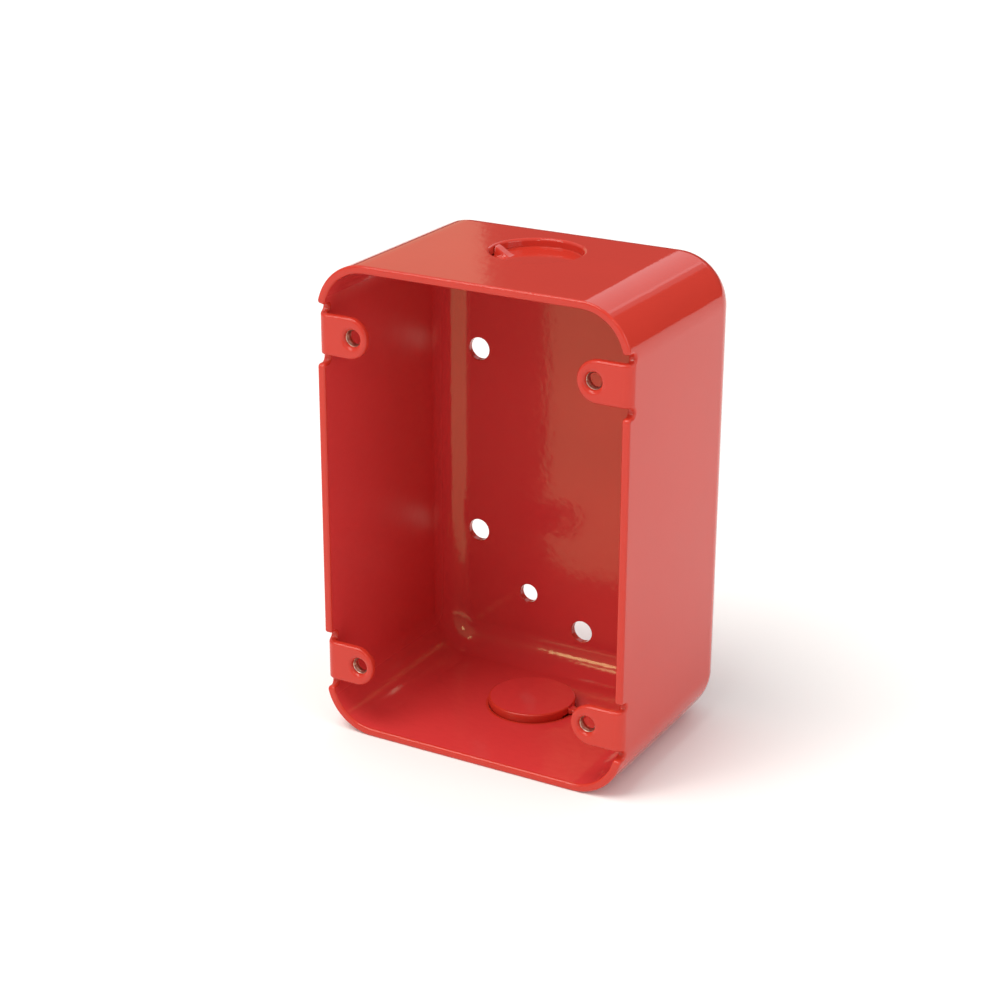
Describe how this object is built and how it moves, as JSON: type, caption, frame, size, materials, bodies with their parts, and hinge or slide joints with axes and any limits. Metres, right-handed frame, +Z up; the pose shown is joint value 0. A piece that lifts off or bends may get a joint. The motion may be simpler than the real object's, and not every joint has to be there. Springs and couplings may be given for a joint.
{
  "type": "horn strobe back box",
  "caption": "Surface-mount drawn steel back box for a wall horn strobe, open at the front, with bent-in threaded ears and pry-in conduit knockouts at top and bottom.",
  "frame": {"origin": "centre of the back's outer face, the face that lies on the wall", "axes": "+Y into the wall, +Z up, +X to the right as seen from the open front; the front rim lies at Y = -58.4 mm"},
  "size_m": [0.082, 0.0584, 0.1206],
  "materials": {
    "red_enamel": "gloss enamel",
    "red_enamel_slug": "gloss enamel"
  },
  "bodies": {
    "shell": {"box_shell": "red_enamel"},
    "top_slug": {"top_knockout": "red_enamel_slug"},
    "bottom_slug": {"bottom_knockout": "red_enamel_slug"}
  },
  "joints": [
    {"name": "top_knockout_bend", "type": "hinge", "parent": "shell", "child": "top_slug", "pos_m": [-0.0123, -0.0259, 0.05702], "axis": [0, 1, 0], "range_deg": [0, 90]},
    {"name": "bottom_knockout_bend", "type": "hinge", "parent": "shell", "child": "bottom_slug", "pos_m": [0.0123, -0.0259, -0.05702], "axis": [0, 1, 0], "range_deg": [0, 90]}
  ]
}
